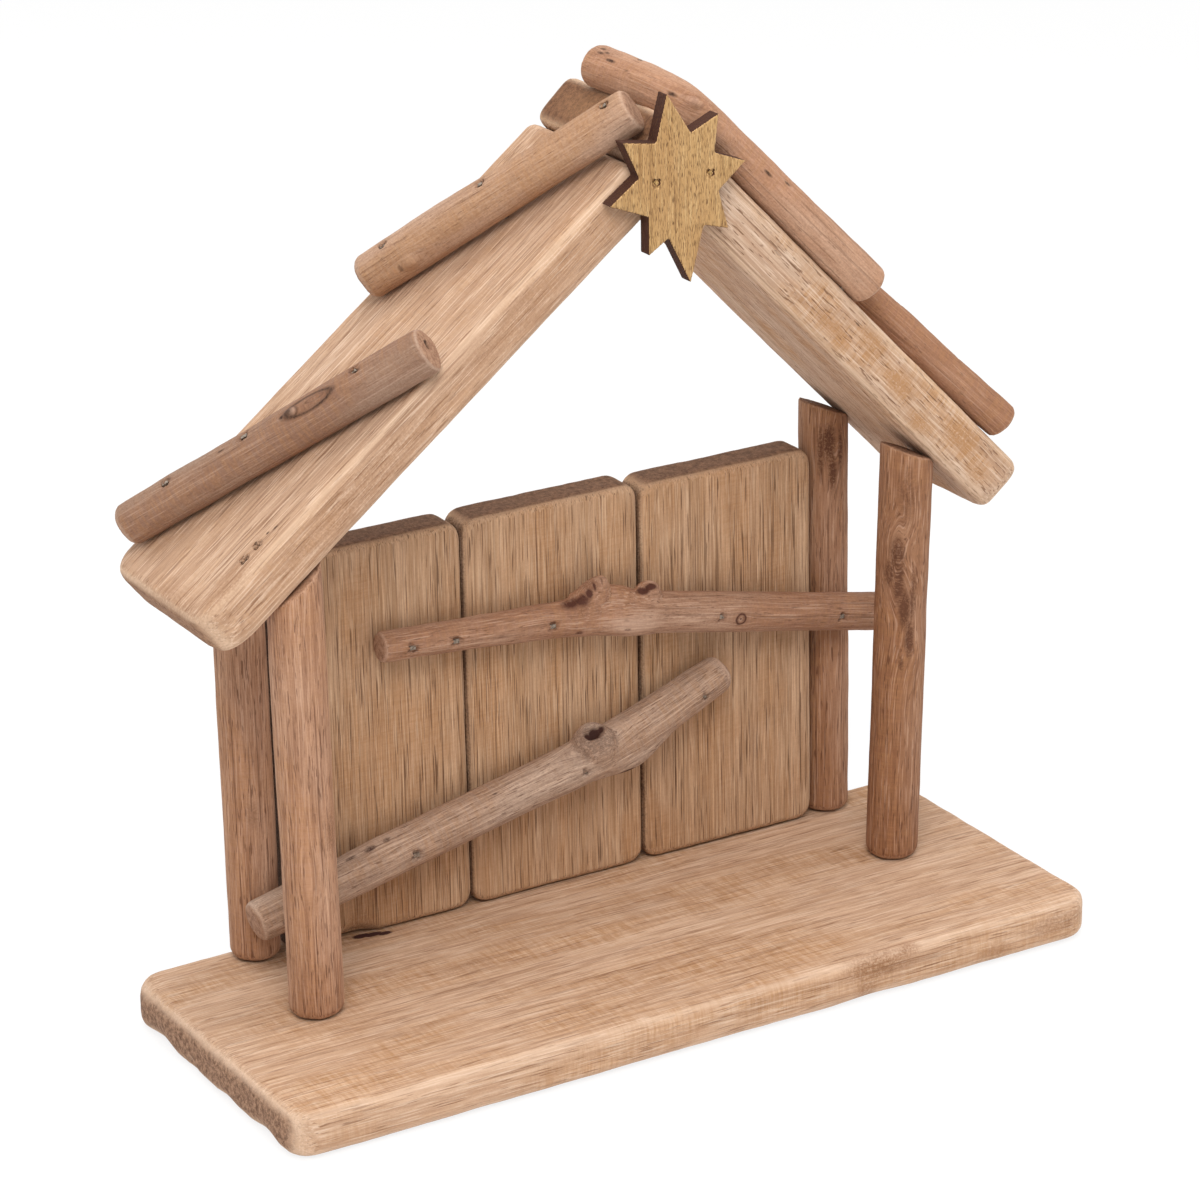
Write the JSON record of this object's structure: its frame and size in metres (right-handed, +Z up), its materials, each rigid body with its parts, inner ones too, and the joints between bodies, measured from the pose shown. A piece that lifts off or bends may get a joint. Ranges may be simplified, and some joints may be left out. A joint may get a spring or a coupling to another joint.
{
  "type": "wooden nativity stable",
  "caption": "Open-fronted tabletop nativity stable: base board, round posts, plank back wall, pitched board roof with branches laid across it, and a star at the ridge.",
  "frame": {"origin": "centre of the base board's underside", "axes": "+X to the right seen from the open front, +Y to the back wall, +Z up"},
  "size_m": [0.2901, 0.1136, 0.2858],
  "materials": {
    "base_wood": "sanded bare wood",
    "post_wood": "sanded bare wood",
    "wall_wood": "sanded bare wood",
    "rail_bark": "sanded bare wood",
    "brace_bark": "sanded bare wood",
    "roof_wood_left": "sanded bare wood",
    "roof_wood_right": "sanded bare wood",
    "branch_wood_left": "sanded bare wood",
    "branch_wood_right": "sanded bare wood",
    "star_gilding": "dull gold paint over open wood pores",
    "brad_steel": "dull",
    "star_brad_gilding": "dull"
  },
  "bodies": {
    "root": {"base_board": "base_wood", "post_front_left": "post_wood", "post_front_right": "post_wood", "post_back_left": "post_wood", "post_back_right": "post_wood", "wall_plank_left": "wall_wood", "wall_plank_middle": "wall_wood", "wall_plank_right": "wall_wood", "rail_branch": "rail_bark", "brace_branch": "brace_bark", "roof_board_left": "roof_wood_left", "roof_board_right": "roof_wood_right", "roof_branch_left_lower": "branch_wood_left", "roof_branch_left_upper": "branch_wood_left", "roof_branch_ridge": "branch_wood_right", "roof_branch_right_lower": "branch_wood_right", "star": "star_gilding", "post_nails": "brad_steel", "plank_nails": "brad_steel", "roof_brads_left": "brad_steel", "roof_brads_right": "brad_steel", "ridge_brads": "brad_steel", "branch_brads_left_lower": "brad_steel", "branch_brads_left_upper": "brad_steel", "branch_brads_ridge": "brad_steel", "branch_brads_right_lower": "brad_steel", "rail_brads": "brad_steel", "brace_brads": "brad_steel", "star_brads": "star_brad_gilding"}
  },
  "joints": []
}
